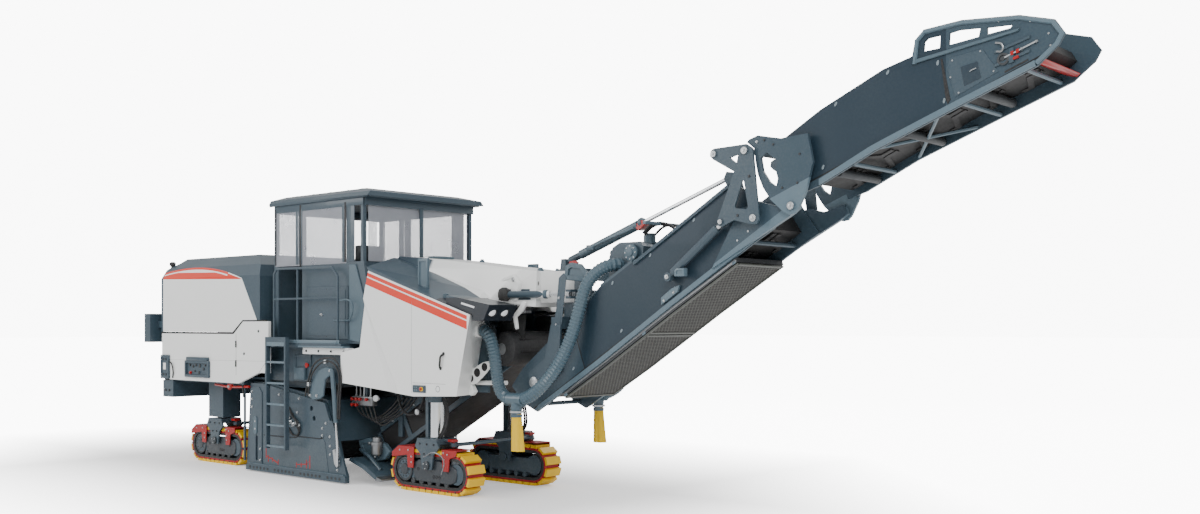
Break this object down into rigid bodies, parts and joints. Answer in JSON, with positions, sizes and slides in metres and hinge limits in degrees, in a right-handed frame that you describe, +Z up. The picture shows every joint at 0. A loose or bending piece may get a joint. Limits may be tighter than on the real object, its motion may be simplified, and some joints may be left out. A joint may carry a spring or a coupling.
{
  "type": "cold planer milling machine",
  "caption": "Tracked cold planer with a canopied operator's platform, a milling drum between its track pairs and a slewing, folding discharge conveyor ahead.",
  "frame": {"origin": "on the ground, in the middle of the machine's length and width", "axes": "+X towards the discharge conveyor's tip, +Y the machine's left side, +Z up"},
  "size_m": [16.1431, 2.74, 5.5],
  "materials": {
    "slate_paint": "satin slate blue-grey paint",
    "white_paint": "satin white-grey paint",
    "track_pads": "worn yellow polyurethane pads on painted steel shoes",
    "belt_rubber": "matt black belt rubber",
    "hose_grey": "matt grey-blue hose",
    "bright_rod": "bright chromed rod",
    "clear_glass": "clear grey glass",
    "seat_cover": "matt black cover",
    "drum_steel": "dark bare steel",
    "guard_mesh": "dark perforated sheet"
  },
  "bodies": {
    "machine": {"chassis_frame": "slate_paint", "rear_panel_right": "white_paint", "rear_panel_left": "white_paint", "engine_block": "drum_steel", "front_tank_right": "white_paint", "front_tank_left": "white_paint", "front_cover": "white_paint", "platform": "slate_paint", "cabin_frame": "slate_paint", "cabin_roof": "slate_paint", "side_glass_right": "clear_glass", "side_glass_left": "clear_glass", "front_glass": "clear_glass", "rear_glass": "clear_glass", "operator_seat": "seat_cover", "control_console": "slate_paint", "drum_housing": "slate_paint", "primary_conveyor": "belt_rubber", "intake_hose_right": "hose_grey", "intake_hose_left": "hose_grey"},
    "crawler_unit_front_right": {"crawler_front_right": "slate_paint", "track_front_right": "track_pads"},
    "crawler_unit_front_left": {"crawler_front_left": "slate_paint", "track_front_left": "track_pads"},
    "crawler_unit_rear_right": {"crawler_rear_right": "slate_paint", "track_rear_right": "track_pads"},
    "crawler_unit_rear_left": {"crawler_rear_left": "slate_paint", "track_rear_left": "track_pads"},
    "front_tie_rod": {"tie_rod_front": "slate_paint"},
    "rear_tie_rod": {"tie_rod_rear": "slate_paint"},
    "drum": {"milling_drum": "drum_steel"},
    "right_side_plate": {"side_plate_right": "slate_paint"},
    "left_side_plate": {"side_plate_left": "slate_paint"},
    "drum_scraper": {"scraper": "slate_paint"},
    "right_ladder": {"ladder_right": "slate_paint"},
    "left_ladder": {"ladder_left": "slate_paint"},
    "hood": {"engine_hood": "slate_paint"},
    "mast": {"conveyor_mast": "slate_paint"},
    "right_slew_rod": {"slew_rod_right": "bright_rod"},
    "left_slew_rod": {"slew_rod_left": "bright_rod"},
    "lower_section": {"lower_boom": "slate_paint", "lower_belt": "belt_rubber", "belt_guard": "guard_mesh", "suction_fan": "slate_paint", "dust_duct_right": "hose_grey", "dust_duct_left": "hose_grey"},
    "lift_barrel": {"suspension_barrel": "slate_paint"},
    "lift_rod": {"suspension_rod": "bright_rod"},
    "upper_section": {"upper_boom": "slate_paint", "upper_belt": "belt_rubber"},
    "rocker": {"rocker_plate_right": "slate_paint", "rocker_plate_left": "slate_paint", "rocker_tube": "slate_paint"},
    "right_fold_barrel": {"fold_barrel_right": "slate_paint"},
    "left_fold_barrel": {"fold_barrel_left": "slate_paint"},
    "right_fold_rod": {"fold_rod_right": "bright_rod"},
    "left_fold_rod": {"fold_rod_left": "bright_rod"}
  },
  "joints": [
    {"name": "steer_front_right", "type": "hinge", "parent": "machine", "child": "crawler_unit_front_right", "pos_m": [-0.85, -0.765, 0.3], "axis": [0, 0, 1], "range_deg": [-18, 18]},
    {"name": "steer_front_left", "type": "hinge", "parent": "machine", "child": "crawler_unit_front_left", "pos_m": [-0.85, 0.765, 0.3], "axis": [0, 0, 1], "range_deg": [-19, 19]},
    {"name": "tie_rod_front_turn", "type": "hinge", "parent": "crawler_unit_front_right", "child": "front_tie_rod", "pos_m": [-0.49, -0.765, 0.7], "axis": [0, 0, 1], "range_deg": [-19, 19]},
    {"name": "steer_rear_right", "type": "hinge", "parent": "machine", "child": "crawler_unit_rear_right", "pos_m": [-6.47, -0.765, 0.3], "axis": [0, 0, 1], "range_deg": [-18, 18]},
    {"name": "steer_rear_left", "type": "hinge", "parent": "machine", "child": "crawler_unit_rear_left", "pos_m": [-6.47, 0.765, 0.3], "axis": [0, 0, 1], "range_deg": [-19, 19]},
    {"name": "tie_rod_rear_turn", "type": "hinge", "parent": "crawler_unit_rear_right", "child": "rear_tie_rod", "pos_m": [-6.11, -0.765, 0.7], "axis": [0, 0, 1], "range_deg": [-19, 19]},
    {"name": "drum_spin", "type": "hinge", "parent": "machine", "child": "drum", "pos_m": [-3.9, 0, 0.66], "axis": [0, 1, 0], "continuous": true},
    {"name": "side_plate_right_lift", "type": "slide", "parent": "machine", "child": "right_side_plate", "axis": [0, 0, 1], "range_m": [0, 0.33]},
    {"name": "side_plate_left_lift", "type": "slide", "parent": "machine", "child": "left_side_plate", "axis": [0, 0, 1], "range_m": [0, 0.33]},
    {"name": "scraper_swing", "type": "hinge", "parent": "machine", "child": "drum_scraper", "pos_m": [-4.73, 0, 1.25], "axis": [0, 1, 0], "range_deg": [0, 80]},
    {"name": "ladder_right_swing", "type": "hinge", "parent": "machine", "child": "right_ladder", "pos_m": [-4.03, -1.3, 2.08], "axis": [0, 1, 0], "range_deg": [0, 75]},
    {"name": "ladder_left_swing", "type": "hinge", "parent": "machine", "child": "left_ladder", "pos_m": [-4.03, 1.3, 2.08], "axis": [0, 1, 0], "range_deg": [0, 75]},
    {"name": "hood_lift", "type": "hinge", "parent": "machine", "child": "hood", "pos_m": [-7.75, 0, 2.25], "axis": [0, -1, 0], "range_deg": [0, 40]},
    {"name": "conveyor_slew", "type": "hinge", "parent": "machine", "child": "mast", "pos_m": [1.1, 0, 2.9], "axis": [0, 0, 1], "range_deg": [-60, 60], "deforming": ["intake_hose_right", "intake_hose_left"]},
    {"name": "conveyor_lift", "type": "hinge", "parent": "mast", "child": "lower_section", "pos_m": [0.9, 0, 1.62], "axis": [0, -1, 0], "range_deg": [-20, 5], "deforming": ["intake_hose_right", "intake_hose_left"]},
    {"name": "conveyor_fold", "type": "hinge", "parent": "lower_section", "child": "upper_section", "pos_m": [4.99, 0, 3.73], "axis": [0, 1, 0], "range_deg": [0, 100]},
    {"name": "slew_rod_right_slide", "type": "slide", "parent": "machine", "child": "right_slew_rod", "axis": [0.9392, 0.3434, 0], "range_m": [-0.23, 0.23]},
    {"name": "slew_rod_left_slide", "type": "slide", "parent": "machine", "child": "left_slew_rod", "axis": [0.9392, -0.3434, 0], "range_m": [-0.23, 0.23]},
    {"name": "lift_barrel_turn", "type": "hinge", "parent": "mast", "child": "lift_barrel", "pos_m": [0.96, 0, 3.25], "axis": [0, -1, 0], "range_deg": [-23, 6]},
    {"name": "lift_rod_slide", "type": "slide", "parent": "lift_barrel", "child": "lift_rod", "axis": [0.9456, 0, 0.3254], "range_m": [-0.14, 0.55]},
    {"name": "rocker_turn", "type": "hinge", "parent": "lower_section", "child": "rocker", "pos_m": [4.5, 0, 3.62], "axis": [0, 1, 0], "range_deg": [0, 51]},
    {"name": "fold_barrel_right_turn", "type": "hinge", "parent": "lower_section", "child": "right_fold_barrel", "pos_m": [3.23, -0.59, 2.98], "axis": [0, -1, 0], "range_deg": [-1, 9]},
    {"name": "fold_rod_right_slide", "type": "slide", "parent": "right_fold_barrel", "child": "right_fold_rod", "axis": [0.7977, 0, 0.6031], "range_m": [-0.01, 0.35]},
    {"name": "fold_barrel_left_turn", "type": "hinge", "parent": "lower_section", "child": "left_fold_barrel", "pos_m": [3.23, 0.59, 2.98], "axis": [0, -1, 0], "range_deg": [-1, 9]},
    {"name": "fold_rod_left_slide", "type": "slide", "parent": "left_fold_barrel", "child": "left_fold_rod", "axis": [0.7977, 0, 0.6031], "range_m": [-0.01, 0.35]}
  ],
  "couplings": [
    {"joint": "steer_front_left", "follows": "steer_front_right", "ratio": 1},
    {"joint": "tie_rod_front_turn", "follows": "steer_front_right", "ratio": -1},
    {"joint": "steer_rear_left", "follows": "steer_rear_right", "ratio": 1},
    {"joint": "tie_rod_rear_turn", "follows": "steer_rear_right", "ratio": -1},
    {"joint": "slew_rod_right_slide", "follows": "conveyor_slew", "m_per_rad": 0.21},
    {"joint": "slew_rod_left_slide", "follows": "conveyor_slew", "m_per_rad": -0.21},
    {"joint": "lift_barrel_turn", "follows": "conveyor_lift", "ratio": 1.1},
    {"joint": "lift_rod_slide", "follows": "conveyor_lift", "m_per_rad": -1.55},
    {"joint": "rocker_turn", "follows": "conveyor_fold", "ratio": 0.5},
    {"joint": "fold_barrel_right_turn", "follows": "conveyor_fold", "ratio": 0.081},
    {"joint": "fold_rod_right_slide", "follows": "conveyor_fold", "m_per_rad": 0.196},
    {"joint": "fold_barrel_left_turn", "follows": "conveyor_fold", "ratio": 0.081},
    {"joint": "fold_rod_left_slide", "follows": "conveyor_fold", "m_per_rad": 0.196}
  ]
}
